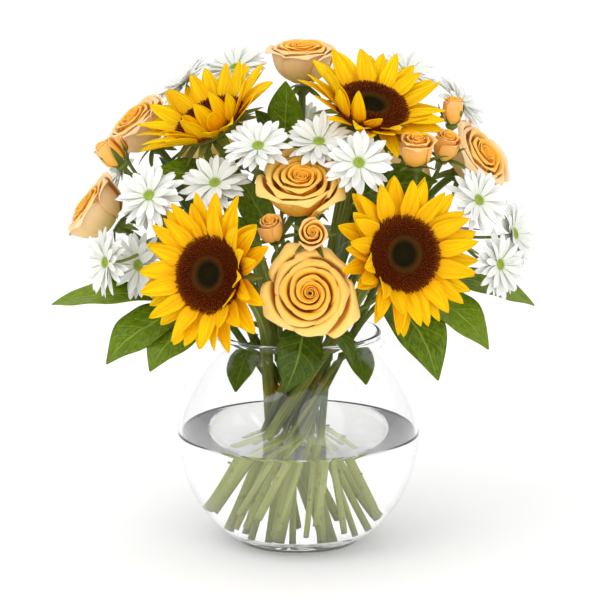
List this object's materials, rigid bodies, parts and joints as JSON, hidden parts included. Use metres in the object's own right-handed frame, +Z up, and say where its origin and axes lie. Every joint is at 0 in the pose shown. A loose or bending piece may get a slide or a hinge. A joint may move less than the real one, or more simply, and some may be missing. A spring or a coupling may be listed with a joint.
{
  "type": "flower arrangement in a vase",
  "caption": "Mixed bouquet of sunflowers, peach roses, spray roses and white daisies with leaves, its stems standing in a clear glass globe vase half full of water",
  "frame": {"origin": "centre of the vase's flat foot, on the surface it stands on", "axes": "+Z up along the vase's axis; -Y is the front of the bouquet; +X to the right as seen from the front"},
  "size_m": [0.3895, 0.3114, 0.4147],
  "materials": {
    "vase_glass": "clear polished glass",
    "water": "clear water",
    "sunflower_ray": "satin grooved petal, orange at its base",
    "sunflower_disc": "matt, velvety florets",
    "rose_petal": "soft satin petal, deeper orange in the folds",
    "bud_petal": "soft satin petal",
    "daisy": "matt white petal round a green eye",
    "stem": "satin green",
    "leaf": "glossy green leaf"
  },
  "bodies": {
    "root": {"vase": "vase_glass", "water": "water", "sunflower_1_disc": "sunflower_disc", "sunflower_1_stem": "stem", "sunflower_1_rays": "sunflower_ray", "sunflower_2_disc": "sunflower_disc", "sunflower_2_stem": "stem", "sunflower_2_rays": "sunflower_ray", "sunflower_3_disc": "sunflower_disc", "sunflower_3_stem": "stem", "sunflower_3_rays": "sunflower_ray", "sunflower_4_disc": "sunflower_disc", "sunflower_4_stem": "stem", "sunflower_4_rays": "sunflower_ray", "rose_1_stem": "stem", "rose_1_bloom": "rose_petal", "rose_2_stem": "stem", "rose_2_bloom": "rose_petal", "rose_3_stem": "stem", "rose_3_bloom": "rose_petal", "rose_4_stem": "stem", "rose_4_bloom": "rose_petal", "rose_5_stem": "stem", "rose_5_bloom": "rose_petal", "rose_6_stem": "stem", "rose_6_bloom": "rose_petal", "rose_7_stem": "stem", "rose_7_bloom": "rose_petal", "rose_8_stem": "stem", "rose_8_bloom": "rose_petal", "bud_spray_1_stem": "stem", "bud_spray_2_stem": "stem", "bud_spray_3_stem": "stem", "bud_spray_1_bud_1": "bud_petal", "bud_spray_1_bud_2": "bud_petal", "bud_spray_2_bud_1": "bud_petal", "bud_spray_2_bud_2": "bud_petal", "bud_spray_2_bud_3": "bud_petal", "bud_spray_3_bud_1": "bud_petal", "bud_spray_3_bud_2": "bud_petal", "daisy_spray_1": "daisy", "daisy_spray_2": "daisy", "daisy_spray_3": "daisy", "daisy_spray_4": "daisy", "daisy_spray_5": "daisy", "daisy_spray_6": "daisy", "daisy_spray_7": "daisy", "foliage_left": "leaf", "foliage_right": "leaf", "foliage_front": "leaf", "foliage_top": "leaf", "foliage_back_left": "leaf", "foliage_back_right": "leaf"}
  },
  "joints": []
}
